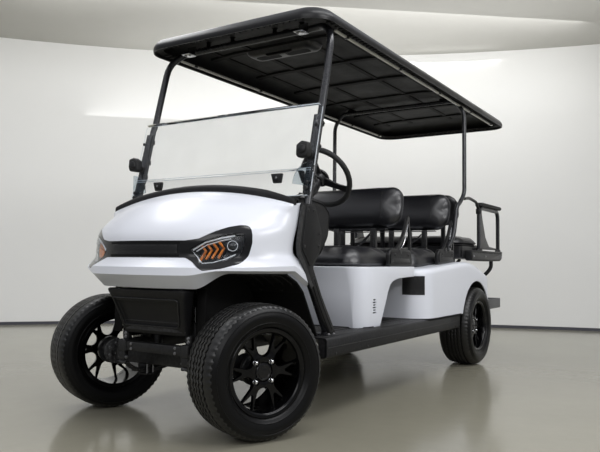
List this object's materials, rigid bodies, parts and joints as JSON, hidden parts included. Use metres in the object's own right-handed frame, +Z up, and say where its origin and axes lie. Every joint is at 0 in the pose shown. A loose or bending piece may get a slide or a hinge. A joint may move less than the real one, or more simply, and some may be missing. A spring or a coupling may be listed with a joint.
{
  "type": "golf cart",
  "caption": "Lifted golf cart with a fixed roof, two forward bench rows, a rear-facing flip bench with footrest, steered front wheels and a low windshield.",
  "frame": {"origin": "centre of the footprint box at ground level, under the middle of the cart", "axes": "+X to the driver's left, -Y to the front of the cart, +Z up"},
  "size_m": [1.4402, 4.0904, 2.079],
  "materials": {
    "painted_white": "gloss",
    "black_plastic": "fine texture",
    "black_gloss": "gloss",
    "frame_steel": "satin powder coat",
    "vinyl": "satin vinyl",
    "clear": "clear acrylic",
    "wheel_gloss": "gloss",
    "tyre": "rubber",
    "steel": "dull",
    "canopy": "satin"
  },
  "bodies": {
    "chassis": {"frame_rails": "frame_steel", "floor_pan": "black_plastic", "rocker_panels": "black_plastic", "front_cowl": "painted_white", "front_bumper": "black_plastic", "grille_bar": "black_gloss", "headlights": "black_gloss", "wheel_arch_liners": "black_plastic", "dash_panel": "black_plastic", "kick_panels": "black_plastic", "steering_column": "black_plastic", "pedals": "frame_steel", "front_roof_struts": "frame_steel", "rear_roof_struts": "frame_steel", "roof_canopy": "canopy", "windshield_upper": "clear", "windshield_lower": "clear", "front_seat_pod": "painted_white", "rear_body": "painted_white", "seat_cushions": "vinyl", "seat_backs": "vinyl", "seat_brackets": "black_plastic", "armrests": "frame_steel", "rear_seat_base": "frame_steel", "footrest": "frame_steel", "front_axle_beam": "frame_steel", "rear_axle": "frame_steel", "leaf_springs": "steel", "shock_absorbers": "frame_steel", "battery_pack": "black_plastic"},
    "steering_wheel": {"steering_wheel": "black_plastic"},
    "knuckle_left": {"knuckle_left": "frame_steel"},
    "knuckle_right": {"knuckle_right": "frame_steel"},
    "tie_rod": {"tie_rod": "steel"},
    "wheel_front_left": {"rim_front_left": "wheel_gloss", "tyre_front_left": "tyre"},
    "wheel_front_right": {"rim_front_right": "wheel_gloss", "tyre_front_right": "tyre"},
    "wheel_rear_left": {"rim_rear_left": "wheel_gloss", "tyre_rear_left": "tyre"},
    "wheel_rear_right": {"rim_rear_right": "wheel_gloss", "tyre_rear_right": "tyre"},
    "flip_seat": {"rear_seat_deck": "frame_steel", "rear_seat_cushion": "vinyl"}
  },
  "joints": [
    {"name": "steer_left", "type": "hinge", "parent": "chassis", "child": "knuckle_left", "pos_m": [0.39, -1.695, 0.292], "axis": [0, 0, 1], "range_deg": [-10, 54]},
    {"name": "steer_right", "type": "hinge", "parent": "chassis", "child": "knuckle_right", "pos_m": [-0.39, -1.695, 0.292], "axis": [0, 0, 1], "range_deg": [-10, 54]},
    {"name": "tie_rod_swing", "type": "hinge", "parent": "knuckle_left", "child": "tie_rod", "pos_m": [0.43495, -1.58374, 0.276], "axis": [0, 0, 1], "range_deg": [-54, 10]},
    {"name": "steering_wheel_turn", "type": "hinge", "parent": "chassis", "child": "steering_wheel", "pos_m": [0.36, -0.945, 1.235], "axis": [0, 0.809, 0.5878], "range_deg": [-120, 648]},
    {"name": "wheel_front_left_spin", "type": "hinge", "parent": "knuckle_left", "child": "wheel_front_left", "pos_m": [0.51424, -1.7452, 0.292], "axis": [0.9272, -0.3746, 0], "continuous": true},
    {"name": "wheel_front_right_spin", "type": "hinge", "parent": "knuckle_right", "child": "wheel_front_right", "pos_m": [-0.51424, -1.6448, 0.292], "axis": [0.9272, -0.3746, 0], "continuous": true},
    {"name": "wheel_rear_left_spin", "type": "hinge", "parent": "chassis", "child": "wheel_rear_left", "pos_m": [0.563, 0.935, 0.292], "axis": [1, 0, 0], "continuous": true},
    {"name": "wheel_rear_right_spin", "type": "hinge", "parent": "chassis", "child": "wheel_rear_right", "pos_m": [-0.563, 0.935, 0.292], "axis": [1, 0, 0], "continuous": true},
    {"name": "rear_seat_flip", "type": "hinge", "parent": "chassis", "child": "flip_seat", "pos_m": [0, 1.485, 0.905], "axis": [-1, 0, 0], "range_deg": [0, 180]}
  ],
  "couplings": [
    {"joint": "steer_right", "follows": "steer_left", "ratio": 1},
    {"joint": "tie_rod_swing", "follows": "steer_left", "ratio": -1},
    {"joint": "steering_wheel_turn", "follows": "steer_left", "ratio": 12}
  ]
}
